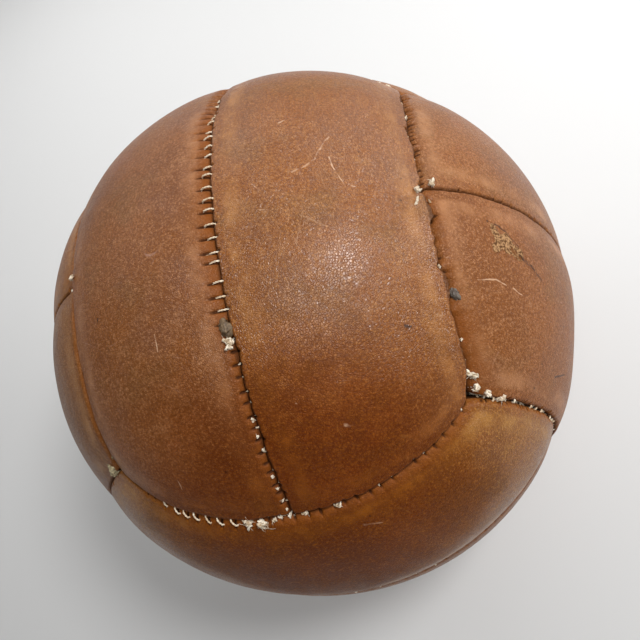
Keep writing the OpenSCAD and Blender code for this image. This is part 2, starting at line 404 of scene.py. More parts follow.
class Strip:
    """One of the ball's twelve leather strips: the half of a face on one side of its middle seam."""

    def __init__(self, face, side):
        own, end, half_names = FACES[face]
        self.name = f"{face}_strip_{half_names[0 if side > 0 else 1]}"
        self.out, self.along, across = face_axes(face)
        self.across, self.side = side * across, side
        self.middle = Side(SEAMS[face + "_middle"], "a" if side > 0 else "b")
        neighbour = next(f for f in FACES if np.allclose(face_axes(f)[0], self.across))
        toward = END_NAMES[FACES[neighbour][0]][0 if end > 0 else 1]
        self.long = Side(SEAMS[f"{neighbour}_{toward}"], "b")
        self.ends = [Side(SEAMS[f"{face}_{END_NAMES[own][which]}"], "a") for which in (1, 0)]

    def direction(self, a, phi):
        """Unit direction from the sine of the angle across and the angle along, in degrees."""
        r, p = np.sqrt(1 - a * a), np.radians(phi)
        parts = (a, self.across), (r * np.sin(p), self.along), (r * np.cos(p), self.out)
        return sum(amount[..., None] * axis for amount, axis in parts)

    @staticmethod
    def phi_at(a, end_distance):
        """The angle along at a distance from the end seam, in degrees."""
        c = np.cos(math.radians(CORNER) - end_distance / BALL_R)
        return np.degrees(np.arccos(np.clip(c / np.sqrt(1 - a * a), -1, 1)))

    def grid(self):
        """Grid of (sine across, angle along) over the strip, rows along and columns across."""
        v = np.linspace(-1, 1, MID_ROWS + 2)[1:-1]
        nominal = edge_positions(np.array(0.4), np.array(2.5))

        def row_angles(distance):
            a = np.array(math.sin(distance / BALL_R))
            near = self.phi_at(a, nominal)
            return np.concatenate([-near, v * self.phi_at(a, EDGE), near[::-1]])

        mid_phi, long_phi = row_angles(5.0), row_angles(STRIP_W - 5.0)
        mid_angle = np.clip(mid_phi, -CORNER, CORNER)
        long_angle = np.clip(long_phi, -45, 45)
        left = edge_positions(self.middle.lip(mid_angle), self.middle.get("roll", mid_angle))
        right = STRIP_W - edge_positions(self.long.lip(long_angle), self.long.get("roll", long_angle))[:, ::-1]
        f = np.linspace(0, 1, PANEL * SPLIT + 1)
        middle = np.broadcast_to(EDGE + f * (STRIP_W - 2 * EDGE), (len(mid_phi), len(f)))
        across = np.concatenate([left, middle, right], axis=1)
        a = np.sin(across / BALL_R)
        phi = np.empty_like(a)
        for which, rows in ((0, slice(0, EDGE_LINES)), (1, slice(-EDGE_LINES, None))):
            side = self.ends[which]
            row_a = a[rows]
            b = np.sqrt(np.maximum(1 - row_a**2 - math.cos(math.radians(CORNER)) ** 2, 0))
            psi = np.degrees(np.arctan2(self.side * row_a, b))
            order = np.arange(EDGE_LINES)[:: -1 if which else 1]
            d = edge_positions(side.lip(psi), side.get("roll", psi))
            d = d[np.arange(EDGE_LINES)[:, None], np.arange(a.shape[1])[None, :], order[:, None]]
            phi[rows] = self.phi_at(row_a, d) * (1 if which else -1)
        inner = slice(EDGE_LINES, -EDGE_LINES)
        phi[inner] = v[:, None] * self.phi_at(a[inner], EDGE)
        return a, phi

    def shape(self, n):
        """For unit directions n: height over the ball, the orange shade, the puckers' depth, the distance to the
        nearest seam, and the shoulder's depth."""
        a = n @ self.across
        b = n @ self.along
        c = n @ self.out
        phi = np.degrees(np.arctan2(b, c))
        d_mid = BALL_R * np.arcsin(np.clip(a, -1, 1))
        d_long = STRIP_W - d_mid
        d_end = BALL_R * (math.radians(CORNER) - np.arccos(np.clip(c, -1, 1)))
        psi = np.degrees(np.arctan2(self.side * a, np.abs(b)))
        everywhere = np.ones(a.shape, bool)
        tests = (
            (self.middle, np.clip(phi, -CORNER, CORNER), d_mid, everywhere),
            (self.long, np.clip(phi, -45, 45), d_long, everywhere),
            (self.ends[0], psi, d_end, b < 0),
            (self.ends[1], psi, d_end, b >= 0),
        )
        h, nearest = unevenness(n), np.full(a.shape, 99.0)
        orange, slots, deep = (np.zeros(a.shape) for _ in range(3))
        for side, angle, distance, chosen in tests:
            drop, slot, shoulder = side.drop(angle, distance)
            h -= np.where(chosen, drop + slot, 0)
            deep = np.where(chosen, np.maximum(deep, shoulder), deep)
            slots += np.where(chosen, slot, 0)
            orange = np.maximum(orange, np.where(chosen, side.orange(angle, distance), 0))
            nearest = np.where(chosen, np.minimum(nearest, distance), nearest)
        return h, orange, slots, nearest, deep

    def build(self, material):
        """The strip as one closed mesh: the grain side, the turned-in edge all round, and the flesh side."""
        a, phi = self.grid()
        n = self.direction(a, phi)
        h, orange, slots, nearest, deep = self.shape(n)
        rows, cols = a.shape
        # every column near the ends, and every fifth over the middle of the panel
        spread = range(EDGE_LINES + 1, cols - EDGE_LINES - 1)
        coarse = np.array([c for c in range(cols) if c not in spread or (c - EDGE_LINES) % SPLIT == 0])
        used = np.zeros(a.shape, bool)
        used[: EDGE_LINES + 1], used[-EDGE_LINES - 1 :], used[:, coarse] = True, True, True
        index = np.full(a.shape, -1)
        index[used] = np.arange(used.sum())
        verts = [on_ball(n[used], h[used])]
        # the puckers' and shoulders' depth, which the material turns into painted shade
        groove, deep = np.clip(slots / GROOVE_FULL, 0, 1), smooth(deep, 1.2, 3.0)
        shades = [tuple(field[used] for field in (groove, deep, orange, nearest))]
        faces = []
        full = [r <= EDGE_LINES or r >= rows - EDGE_LINES - 1 for r in range(rows)]
        for r in range(rows - 1):
            if full[r] == full[r + 1]:
                low, high = (index[line] if full[r] else index[line, coarse] for line in (r, r + 1))
                faces += np.stack([low[:-1], low[1:], high[1:], high[:-1]], 1).tolist()
                continue
            for c0, c1 in zip(coarse[:-1], coarse[1:]):
                if full[r]:
                    ring = [*index[r, c0 : c1 + 1], index[r + 1, c1], index[r + 1, c0]]
                else:
                    ring = [index[r, c0], index[r, c1], *index[r + 1, c0 : c1 + 1][::-1]]
                faces.append([int(i) for i in ring])
        # the turned-in edge, down from the border, marked deep and grooved so that it takes the painted shade of the
        # seam's gap
        br, bc = around(rows, cols)
        ring, start, count = index[br, bc], used.sum(), len(br)
        for depth in FLANGE_HEIGHTS:
            upper = depth < 1
            verts.append(on_ball(n[br, bc], h[br, bc] - depth))
            tint = orange[br, bc] * (0.6 if upper else 0.1)
            shades.append((np.ones(count), np.full(count, 0.5 if upper else 1.0), tint, np.zeros(count)))
            new = start + np.arange(count)
            faces += np.stack([np.roll(ring, -1), ring, new, np.roll(new, -1)], 1).tolist()
            ring, start = new, start + count
        # the flesh side: a coarser copy, set in by the leather's thickness
        ri = np.unique(np.r_[np.arange(0, rows, INNER_STEP), rows - 1])
        ci = np.unique(np.r_[np.arange(0, cols, INNER_STEP), cols - 1])
        d = FLESH_INSET + BALL_R * np.arcsin(a[np.ix_(ri, ci)]) * (1 - 2 * FLESH_INSET / STRIP_W)
        n_in = self.direction(np.sin(d / BALL_R), phi[np.ix_(ri, ci)] * (1 - FLESH_INSET / 105.0))
        h_in = unevenness(n_in) - PILLOW_DEPTH * 0.5 - LEATHER_T
        inner = start + np.arange(len(ri) * len(ci)).reshape(len(ri), len(ci))
        verts.append(on_ball(n_in, h_in, LEATHER_T))
        flesh_start, start = start, start + inner.size
        # the wall between them: the edge's last ring, its lower rim, and the flesh side's border
        ir, ic = around(len(ri), len(ci))
        place = {at: i for i, at in enumerate(zip(br.tolist(), bc.tolist()))}
        fine_at = [place[at] for at in zip(ri[ir].tolist(), ci[ic].tolist())]
        rim_h = h[br, bc][fine_at] - FLANGE_HEIGHTS[-1]
        verts.append(on_ball(n_in[ir, ic], rim_h))
        rim, border = (start + np.arange(len(ir))).tolist(), inner[ir, ic].tolist()
        for i in range(len(rim)):
            j = (i + 1) % len(rim)
            fine = [int(ring[k % count]) for k in range(fine_at[i], (fine_at[j] if j else count) + 1)]
            faces += [fine[::-1] + [rim[i], rim[j]], [rim[j], rim[i], border[i], border[j]]]
        low, high = inner[:-1], inner[1:]
        faces += np.stack([low[:, 1:], low[:, :-1], high[:, :-1], high[:, 1:]], -1).reshape(-1, 4).tolist()
        extra = inner.size + len(rim)
        shades.append((np.full(extra, 0.3), *np.zeros((3, extra))))
        verts = np.concatenate(verts)
        if looks_in(verts[faces[len(faces) // 3][:4]], CENTRE):
            faces = [f[::-1] for f in faces]
        shade = dict(zip(("groove", "deep", "orange", "seam_mm"), map(np.concatenate, zip(*shades))))
        shade["flesh"] = np.r_[np.zeros(flesh_start), np.ones(extra)]
        obj = mesh_object(self.name.replace("_strip", "_leather_strip"), verts, faces, material, shade)
        hand_in(obj, "leather", self.name)


# ---------------- materials


class Graph:
    """A material's nodes, with short ways to make the ones used here. Sizes are in millimetres on the ball."""

    def __init__(self, name):
        self.mat = bpy.data.materials.new(name)
        self.mat.use_nodes = True
        self.nodes, self.links = self.mat.node_tree.nodes, self.mat.node_tree.links
        self.bsdf = self.nodes["Principled BSDF"]
        self.place = self.nodes.new("ShaderNodeTexCoord").outputs["Object"]

    def put(self, socket, value):
        if isinstance(value, bpy.types.NodeSocket):
            self.links.new(value, socket)
        elif isinstance(value, tuple) and len(value) == 3 and socket.type == "RGBA":
            socket.default_value = (*value, 1)
        else:
            socket.default_value = value

    def node(self, kind, output, inputs, **settings):
        node = self.nodes.new("ShaderNode" + kind)
        for name, value in settings.items():
            setattr(node, name, value)
        for name, value in inputs.items():
            self.put(node.inputs[name], value)
        return node.outputs[output]

    def math(self, operation, a, b=0.0, clamp=False):
        return self.node("Math", 0, {0: a, 1: b}, operation=operation, use_clamp=clamp)

    def vector(self, operation, a, b=(0, 0, 0)):
        output = "Value" if operation in ("DOT_PRODUCT", "LENGTH") else "Vector"
        return self.node("VectorMath", output, {0: a, 1: b}, operation=operation)

    def scaled(self, a, scale):
        return self.node("VectorMath", "Vector", {0: a, "Scale": scale}, operation="SCALE")

    def noise(self, size, detail=2.0, rough=0.5, seed=0.0, distort=0.0):
        inputs = {"Vector": self.place, "W": seed, "Scale": 1 / (size * MM), "Detail": detail}
        inputs |= {"Roughness": rough, "Distortion": distort}
        return self.node("TexNoise", "Fac", inputs, noise_dimensions="4D")

    def cell_edges(self, size):
        """Distance to the nearest edge of rounded cells."""
        inputs = {"Vector": self.place, "Scale": 1 / (size * MM)}
        return self.node("TexVoronoi", "Distance", inputs, feature="DISTANCE_TO_EDGE")

    def ramp(self, value, low, high, out_low=0.0, out_high=1.0):
        inputs = {"Value": value, "From Min": low, "From Max": high, "To Min": out_low, "To Max": out_high}
        return self.node("MapRange", "Result", inputs, interpolation_type="SMOOTHSTEP")

    def product(self, first, *others):
        for other in others:
            first = self.math("MULTIPLY", first, other)
        return first

    def toward(self, place, direction):
        return self.vector("DOT_PRODUCT", place, direction)

    def mix(self, amount, a, b, blend="MIX"):
        return self.node("Mix", 2, {"Factor": amount, 6: a, 7: b}, data_type="RGBA", blend_type=blend)

    def attribute(self, name):
        return self.node("Attribute", "Fac", {}, attribute_name=name)

    def bump(self, height, distance, below=None):
        inputs = {"Height": height, "Distance": distance * MM}
        return self.node("Bump", "Normal", inputs if below is None else {**inputs, "Normal": below})

    def finish(self, colour, roughness, normal=None, specular=0.5):
        self.put(self.bsdf.inputs["Base Color"], colour)
        self.put(self.bsdf.inputs["Roughness"], roughness)
        self.bsdf.inputs["Specular IOR Level"].default_value = specular
        if normal is not None:
            self.put(self.bsdf.inputs["Normal"], normal)
        return self.mat


# Colours of the leather, of what has happened to it, and of the painted shade in its seams
SADDLE = (0.335, 0.112, 0.020)
DARK = (0.19, 0.060, 0.011)
TAN = (0.50, 0.225, 0.075)
OLIVE = (0.27, 0.118, 0.030)
RUST = (0.36, 0.100, 0.022)
PLUM = (0.235, 0.098, 0.042)
ORANGE = (0.255, 0.072, 0.009)
# grime in pits and marks, and also the painted shade down the seams' gaps, rolled shoulders and puckers
GRIME_AND_SHADE = (0.050, 0.016, 0.006)
PALE = (0.72, 0.45, 0.28)
RAW = (0.50, 0.28, 0.13)
BARED = (0.125, 0.052, 0.017)
FLESH = (0.45, 0.31, 0.19)
# multiplied in round the front seam: a redder tone of the leather, and painted shade
REDDER_AND_SHADED_TINT = (0.63, 0.40, 0.11)
# The middles of the redder area with painted shade and of the one that hands have polished, as directions from the
# ball's centre
REDDER_AND_SHADED_SIDE = (0.05, -0.84, 0.54)
HANDLED_SIDE = (0.308, -0.241, 0.921)
GRAIN_CELL = 0.85
COAT_ROUGHNESS = 0.27
# Fine wandering scratches: the wave's size in millimetres, and the line's width in the wave's own values
SCRATCHES = ((48, 0.0022), (33, 0.0030), (70, 0.0016))


def leather_material(name, seed, tone, shine, marks):
    g = Graph(name)
    seam_mm, orange, groove, deep = (g.attribute(a) for a in ("seam_mm", "orange", "groove", "deep"))
    hue = g.noise(26, 4, 0.62, seed + 3)
    mottle = g.noise(6.5, 5, 0.7, seed + 7)
    speck = g.noise(1.0, 3, 0.8, seed + 11)
    pebble = g.ramp(g.cell_edges(GRAIN_CELL), 0.0, 0.22)
    colour = g.mix(g.ramp(g.noise(42, 3, 0.6, seed), 0.32, 0.60, 0.25, 1.0), DARK, SADDLE)
    for source, low, high, amount, shade in (
        (hue, 0.40, 0.26, 0.7, RUST),
        (hue, 0.50, 0.66, 0.8, OLIVE),
        (g.noise(34, 4, 0.6, seed + 5), 0.52, 0.70, 0.75, PLUM),
        (mottle, 0.50, 0.74, 0.65, TAN),
        (mottle, 0.46, 0.27, 0.6, DARK),
        (speck, 0.50, 0.63, 0.85, TAN),
        (speck, 0.50, 0.38, 0.85, DARK),
        (pebble, 1.0, 0.0, 0.55, DARK),
    ):
        colour = g.mix(g.ramp(source, low, high, 0, amount), colour, shade)
    # rubbed pale where the panels stand proud beside the seams, in broken patches
    patches = g.ramp(g.noise(14, 4, 0.65, seed + 17), 0.42, 0.66, 0.1, 0.75)
    colour = g.mix(g.product(g.ramp(seam_mm, 3.5, 6.0), g.ramp(seam_mm, 13, 6.5), patches), colour, TAN)
    # scratches are thin level lines of a slow noise, kept in patches
    for k, (size, width) in enumerate(SCRATCHES):
        line = g.math("ABSOLUTE", g.math("SUBTRACT", g.noise(size, 0.5, 0.5, seed + 23 + 5 * k), 0.52))
        patch = g.ramp(g.noise(8, 2, 0.5, seed + 31 + 5 * k), 0.56, 0.68)
        colour = g.mix(g.product(g.ramp(line, width, 0, 0, 0.3), patch), colour, PALE)
    # small dark pits and stains
    colour = g.mix(g.product(g.ramp(g.noise(2.8, 2, 0.5, seed + 41), 0.72, 0.79), 0.75), colour, GRIME_AND_SHADE)
    colour = g.mix(g.ramp(g.noise(12, 5, 0.68, seed + 47), 0.58, 0.74, 0, 0.65), colour, DARK)
    colour = g.mix(1.0, colour, tone, "MULTIPLY")
    # darker and redder round a place near the front seam, partly a redder leather and partly painted shade, and
    # shinier round one near the top
    place = g.scaled(g.vector("SUBTRACT", g.place, tuple(CENTRE * MM)), 1 / (BALL_R * MM))
    patchy = g.product(g.math("SUBTRACT", hue, 0.5), 0.25)
    redder_and_shaded = g.ramp(g.math("ADD", g.toward(place, REDDER_AND_SHADED_SIDE), patchy), 0.76, 0.98)
    handled = g.ramp(g.toward(place, HANDLED_SIDE), 0.70, 0.98, 0.3, 1.0)
    # painted shade, partly: the leather turns darker and redder round the front seam
    colour = g.mix(redder_and_shaded, colour, g.mix(1.0, colour, REDDER_AND_SHADED_TINT, "MULTIPLY"))
    worn = g.ramp(g.noise(3, 4, 0.7, seed + 53), 0.34, 0.58, 0.45, 1.0)
    colour = g.mix(g.product(orange, worn), colour, ORANGE)
    raw = None
    for mark in marks:
        mask, shade = mark_mask(g, mark, seed), mark["colour"]
        if shade == RAW:
            shade = g.mix(g.ramp(g.noise(1.0, 3, 0.8, seed + 91), 0.44, 0.57), BARED, shade)
            raw = mask if raw is None else g.math("MAXIMUM", raw, mask)
        colour = g.mix(mask, colour, shade)
    # painted shade with some grime: darker near the seam's line, down the rolled shoulders and in the stitches'
    # puckers
    crease = g.math("MAXIMUM", g.ramp(seam_mm, 1.2, 0.3, 0, 0.6), g.ramp(groove, 0.3, 0.85, 0, 0.85))
    crease = g.math("MAXIMUM", crease, g.product(deep, 0.85))
    colour = g.mix(g.attribute("flesh"), g.mix(crease, colour, GRIME_AND_SHADE), FLESH)
    rough = g.math("ADD", g.ramp(mottle, 0.3, 0.7, 0.34, 0.44), g.product(crease, 0.35))
    rough = g.math("ADD", rough, g.product(g.math("MAXIMUM", redder_and_shaded, orange), 0.12))
    # handled smooth and shiny outside the redder, shaded area, the creases and the scuffs
    polish = g.math("SUBTRACT", g.ramp(redder_and_shaded, 0.8, 0.0), g.math("ADD", crease, orange), clamp=True)
    polish = g.product(polish, g.ramp(g.noise(9, 3, 0.6, seed + 97), 0.3, 0.6, 0.65 * shine, shine), handled)
    height = g.math("ADD", g.product(pebble, 0.7), g.product(speck, 0.3))
    if raw is not None:
        rough = g.math("ADD", rough, g.product(raw, 0.4))
        polish = g.math("SUBTRACT", polish, raw, clamp=True)
        height = g.math("ADD", height, g.product(raw, g.noise(1.1, 3, 0.8, seed + 61), 3.5))
    normal = g.bump(height, 0.12, g.bump(g.noise(5.5, 3, 0.55, seed + 71, 0.5), 0.20))
    g.put(g.bsdf.inputs["Coat Weight"], polish)
    g.put(g.bsdf.inputs["Coat Normal"], normal)
    g.bsdf.inputs["Coat Roughness"].default_value = COAT_ROUGHNESS
    return g.finish(colour, rough, normal, 0.15)


def mark_mask(g, mark, seed):
    """A mark's strength: a wavy line through places on the ball."""
    ends = [Vector((polar_direction(*place) * BALL_R + CENTRE) * MM) for place in mark["places"]]
    wave = {"Vector": g.place, "Scale": 1 / (mark.get("wave", 6) * MM), "Detail": 2}
    shift = g.vector("SUBTRACT", g.node("TexNoise", "Color", wave), (0.5, 0.5, 0.5))
    moved = g.vector("ADD", g.place, g.scaled(shift, mark["stray"] * MM))
    w0, w1 = (w * MM for w in mark["widths"])
    ratio, spans = None, len(ends) - 1
    for k in range(spans):
        p, run = g.vector("SUBTRACT", moved, tuple(ends[k])), ends[k + 1] - ends[k]
        t = g.math("DIVIDE", g.vector("DOT_PRODUCT", p, tuple(run)), max(run.length_squared, 1e-9), clamp=True)
        away = g.vector("LENGTH", g.vector("SUBTRACT", p, g.scaled(tuple(run), t)))
        width = g.math("ADD", g.product(t, (w1 - w0) / spans), w0 + (w1 - w0) * k / spans)
        part = g.math("DIVIDE", away, width)
        ratio = part if ratio is None else g.math("MINIMUM", ratio, part)
    mask = g.ramp(ratio, 1.0, mark.get("core", 0.6), 0, mark["amount"])
    if mark.get("broken"):
        mask = g.product(mask, g.ramp(g.noise(mark["broken"], 3, 0.6, seed + 83), 0.4, 0.6))
    return mask


def wear(colour, amount, widths, stray, *places, **more):
    """A mark of wear: its colour and strength, the half widths at its two ends and how far it strays, in
    millimetres, and the places it goes through, each a polar angle and an azimuth in degrees. Also how long its
    waves are, how much of its width is at full strength, and the size of its breaks."""
    return {"colour": colour, "amount": amount, "widths": widths, "stray": stray, "places": places, **more}


MARKS = {
    "right_strip_front": [
        wear(RAW, 1, (1.6, 3.0), 2.2, (48.3, -8.4), (49.6, -11.8), (54.4, -12.2), wave=3, core=0.8),
        wear(RAW, 1, (2.2, 3.4), 2.2, (48.9, -13.4), (49.8, -11.6), (51.4, -10.6), wave=3, core=0.8),
        wear(DARK, 0.8, (0.8, 0.5), 2.0, (48.1, -14.8), (50.7, -14.3), (55.2, -13.2), wave=2.5, broken=2.5),
        wear(GRIME_AND_SHADE, 0.8, (0.7, 0.4), 1.6, (47.3, -7.2), (50.2, -7.6), (54.4, -10.4), wave=3, broken=3),
        wear(DARK, 0.8, (1.3, 0.5), 2.2, (52.8, -12.2), (61.8, -15.6), wave=5, broken=2.5),
        wear(GRIME_AND_SHADE, 0.9, (1.0, 0.5), 1.6, (54.6, -12.6), (58.2, -13.6), (62.0, -15.6), wave=3, broken=3),
        wear(PALE, 0.7, (0.42, 0.4), 1.2,
            (43.6, -23.8), (49.3, -20.9), (54.0, -20.8), (57.4, -21.3), (61.9, -19.7), wave=5),
        wear(GRIME_AND_SHADE, 0.8, (0.5, 0.35), 0.8, (72.5, -30.3), (77.5, -27.8)),
        wear(PLUM, 0.35, (1.6, 1.2), 2, (45.0, -15.0), (46.0, -12.0), broken=4),
    ],
    "top_strip_right": [
        wear(GRIME_AND_SHADE, 0.9, (0.9, 0.5), 1.6, (37.2, -42.6), (37.9, -41.4), wave=3, core=0.3),
        wear(PALE, 0.65, (0.38, 0.28), 1.2,
            (20.8, 14.8), (20.7, 8.6), (21.1, 2.3), (21.9, -2.2), (23.4, -2.8), wave=4),
        wear(PALE, 0.5, (0.40, 0.5), 1.8,
            (22.9, 25.8), (19.9, 20.6), (18.5, 16.0), (15.9, 12.6), (14.3, 11.7), wave=4, broken=2.5),
        wear(PALE, 0.6, (0.5, 0.3), 0.8, (19.5, 49.9), (20.9, 48.4)),
        wear(PALE, 0.4, (0.34, 0.3), 0.8, (5.9, -22.7), (10.0, -20.1)),
        wear(PALE, 0.4, (0.4, 0.3), 1.2, (7.3, 23.7), (8.3, 5.3), (9.2, -13.1), broken=5),
        wear(PALE, 0.5, (0.3, 0.25), 1.6, (35.0, -77.5), (48.5, -60.2), wave=12, broken=9),
        wear(PALE, 0.6, (0.9, 0.6), 1.8, (41.6, -69.5), (42.6, -68.0), wave=3, core=0.2),
        wear(DARK, 0.5, (2.2, 1.4), 3, (47.0, -50.0), (50.5, -46.0), core=0.1, broken=4),
        wear(DARK, 0.5, (3.2, 2.6), 3, (45.4, -41.0), (47.0, -39.2), core=0.1),
        wear(DARK, 0.5, (2.6, 1.6), 3.5, (27.5, 4.0), (29.5, 12.0), core=0.1, broken=4),
    ],
    "top_strip_left": [
        wear(PALE, 0.7, (0.4, 0.3), 0.9, (22.6, -125.8), (24.9, -122.4)),
        wear(PALE, 0.55, (0.35, 0.3), 1.8, (39.5, -116.4), (49.5, -113.2), wave=10, broken=7),
        wear(PALE, 0.45, (0.3, 0.25), 1.6, (41.0, -119.8), (46.5, -118.0), wave=10, broken=7),
        wear(GRIME_AND_SHADE, 0.9, (0.5, 0.5), 0.6, (28.0, -155.9), (28.3, -155.3)),
        wear(GRIME_AND_SHADE, 0.9, (0.45, 0.45), 0.6, (33.8, -153.0), (34.1, -152.6)),
        wear(DARK, 0.55, (4.5, 3.0), 6, (17.0, -150.0), (19.4, -141.0), core=0.1, broken=5),
        wear(DARK, 0.45, (4.0, 2.6), 5, (26.0, -136.0), (28.2, -132.0), core=0.1, broken=5),
    ],
    "front_strip_upper": [
        wear(GRIME_AND_SHADE, 0.8, (0.7, 0.4), 0.8, (56.1, -44.2), (57.9, -44.9), wave=3, core=0.4),
        wear(PALE, 0.5, (0.4, 0.3), 1.4, (66.0, -84.0), (71.5, -86.0), broken=5),
        wear(PALE, 0.5, (0.8, 0.4), 1.6, (60.5, -77.5), (61.5, -74.0), wave=4, core=0.2),
    ],
}
# Each strip's colour against the leather's own, and how glossy handling has made it
TONES = {
    "top_strip_right": (0.94, 0.90, 0.80),
    "top_strip_left": (0.93, 0.95, 1.25),
    "right_strip_front": (0.98, 1.0, 1.3),
    "right_strip_back": (0.98, 1.02, 1.3),
    "front_strip_upper": (1.0, 1.04, 0.7),
    "left_strip_front": (0.85, 0.95, 1.2),
    "bottom_strip_left": (0.9, 0.95, 1.1),
    "back_strip_lower": (0.9, 0.92, 1.0),
    "front_strip_lower": (0.94, 0.94, 1.0),
}
SHINE = {
    "top_strip_right": 0.9,
    "top_strip_left": 0.4,
    "right_strip_front": 0.15,
    "right_strip_back": 0.35,
    "front_strip_upper": 1.5,
}
SHINE_ELSEWHERE = 0.5
SEED_STEP = 97  # between one strip's noises and the next one's
# Each a dark and a light colour
WAX_BROWN = (0.055, 0.028, 0.011), (0.21, 0.135, 0.07)
WAX_BLUE = (0.06, 0.034, 0.020), (0.19, 0.16, 0.13)
TUFT_CLEAN = (0.50, 0.36, 0.22), (0.94, 0.84, 0.68)
TUFT_DIRTY = (0.22, 0.16, 0.08), (0.52, 0.45, 0.28)


def plain_material(name, dark, light, size, roughness, bump_mm):
    g = Graph(name)
    fine = g.noise(size / 6, 3, 0.6, 9)
    colour = g.mix(g.ramp(g.noise(size, 3, 0.6, 3), 0.35, 0.65), dark, light)
    colour = g.mix(g.ramp(fine, 0.6, 0.8, 0, 0.5), colour, dark)
    return g.finish(colour, roughness, g.bump(fine, bump_mm))


def dirty_material(name, first, second, axis, limits, grain, contrast, roughness, bump_mm):
    """Dirt over a colour that turns from the first pair to the second along an axis of the ball."""
    g = Graph(name)
    side = g.ramp(g.toward(g.place, axis), *limits)
    dark, light = (g.mix(side, a, b) for a, b in zip(first, second))
    dirt = g.noise(*grain, 3)
    return g.finish(g.mix(g.ramp(dirt, *contrast), dark, light), roughness, g.bump(dirt, bump_mm))


THREAD = plain_material("waxed_thread", (0.76, 0.58, 0.38), (0.97, 0.86, 0.68), 2.6, 0.8, 0.1)
# Frayed thread is dirtier and greener in the left corner, and the wax bluer in the seam on the right
TUFT = dirty_material(
    "frayed_thread", TUFT_CLEAN, TUFT_DIRTY, (0.8, 0.6, 0), (-0.08, -0.09), (2.6, 4, 0.65), (0.35, 0.6), 0.85, 0.1
)
WAX = dirty_material(
    "seam_wax", WAX_BROWN, WAX_BLUE, (1, 0, 0), (0.02, 0.05), (1.6, 4, 0.7), (0.36, 0.62), 0.55, 0.3
)
CANVAS = plain_material("canvas_lining", (0.34, 0.27, 0.17), (0.5, 0.42, 0.29), 9, 0.9, 0.3)
HAIR = plain_material("hair_stuffing", (0.10, 0.06, 0.035), (0.26, 0.17, 0.10), 6, 0.95, 0.8)
RAGS = plain_material("rag_core", (0.24, 0.24, 0.25), (0.5, 0.47, 0.42), 14, 0.95, 0.8)

STRIPS = [Strip(face, side) for face in FACES for side in (1, -1)]
for number, strip in enumerate(STRIPS):
    tone, shine = TONES.get(strip.name, (1, 1, 1)), SHINE.get(strip.name, SHINE_ELSEWHERE)
    look_name, marks = strip.name.replace("_strip", "_leather"), MARKS.get(strip.name, [])
    strip.build(leather_material(look_name, 10.0 + SEED_STEP * number, tone, shine, marks))

# ---------------- thread, knots and wax


def surface(n):
    """Height of the leather, and distance to the nearest seam, for unit directions n."""
    high, nearest = np.zeros(n.shape[:-1]), np.zeros(n.shape[:-1])
    edge = math.cos(math.radians(CORNER))
    for strip in STRIPS:
        across = n @ strip.across
        here = (n @ strip.out > edge - 1e-9) & (across >= 0) & (across <= edge)
        if here.any():
            h, _, _, d, _ = strip.shape(n[here])
            high[here], nearest[here] = h, d
    return high, nearest


def on_leather(seam, angle, across):
    """Places over the leather beside a seam, from the ball's centre."""
    angle, across = np.broadcast_arrays(np.asarray(angle, float), np.asarray(across, float))
    n = seam.point(angle, across, np.zeros(angle.shape)) / BALL_R
    return n * (BALL_R + surface(n)[0])[..., None]


def spline(points, per_span):
    """A smooth line through the points, with per_span steps between each two."""
    p = np.asarray(points, float)
    p = np.concatenate([[2 * p[0] - p[1]], p, [2 * p[-1] - p[-2]]])
    t = (np.arange(per_span) / per_span)[:, None]
    out = []
    for a, b, c, d in zip(p[:-3], p[1:-2], p[2:-1], p[3:]):
        out.append(0.5 * (2 * b + (c - a) * t + (2 * a - 5 * b + 4 * c - d) * t**2 + (3 * b - a - 3 * c + d) * t**3))
    return np.concatenate(out + [p[-2:-1]])


def sweep(line, radius, sides=6, start=0):
    """A closed tube round a line: vertices, faces numbered from start, and the two directions across it."""
    line = np.asarray(line, float)
    n = len(line)
    radius = np.broadcast_to(radius, (n,))
    tangent = np.gradient(line, axis=0)
    tangent /= np.maximum(np.linalg.norm(tangent, axis=1), 1e-9)[:, None]
    side = np.cross(tangent[0], (0.3, 0.5, 0.81))
    u = []
    for t in tangent:
        side = side - t * (side @ t)
        side = side / max(np.linalg.norm(side), 1e-9)
        u.append(side)
    u = np.array(u)
    v = np.cross(tangent, u)
    angle = 2 * math.pi * np.arange(sides) / sides
    ring = np.cos(angle)[None, :, None] * u[:, None] + np.sin(angle)[None, :, None] * v[:, None]
    verts = (line[:, None] + ring * radius[:, None, None]).reshape(-1, 3)
    i = start + np.arange(n - 1)[:, None] * sides
    j = np.arange(sides)[None, :]
    k = (j + 1) % sides
    faces = np.stack([i + j, i + k, i + sides + k, i + sides + j], -1).reshape(-1, 4).tolist()
    faces += [list(range(start, start + sides))[::-1], list(range(start + (n - 1) * sides, start + n * sides))]
    return verts, faces, (u, v)


PLY_TWIST = 2.4  # length of one turn of the thread's plies


class Heap:
    """Vertices and faces of several closed pieces gathered in one mesh."""

    def __init__(self):
        self.verts, self.faces, self.count = [], [], 0

    def tube(self, line, radius, sides=6):
        verts, faces, _ = sweep(line, radius, sides, self.count)
        self.add(verts, faces)

    def add(self, verts, faces):
        self.verts.append(verts)
        self.faces += faces
        self.count += len(verts)

    def strand(self, line, radius, sides=6):
        """Two-ply thread along a line."""
        line = np.asarray(line, float)
        _, _, (u, v) = sweep(line, radius, 3)
        steps = np.linalg.norm(np.diff(line, axis=0), axis=1)
        turn = 2 * math.pi * np.r_[0, np.cumsum(steps)] / PLY_TWIST
        for half in (0, math.pi):
            offset = np.cos(turn + half)[:, None] * u + np.sin(turn + half)[:, None] * v
            self.tube(line + offset * 0.46 * radius, 0.6 * radius, sides)

    def object(self, name, material):
        return mesh_object(name, settle(np.concatenate(self.verts), 0.3), self.faces, material)


# Over one stitch: how far across it is, from 0 on side b to 1 on side a, and the height over the leather there
OVER = np.array([0, 0, 0.12, 0.32, 0.55, 0.8, 1, 1])
OVER_HEIGHT = np.array([-3.4, -0.9, 0.35, 0.5, 0.5, 0.35, -0.7, -3.4])


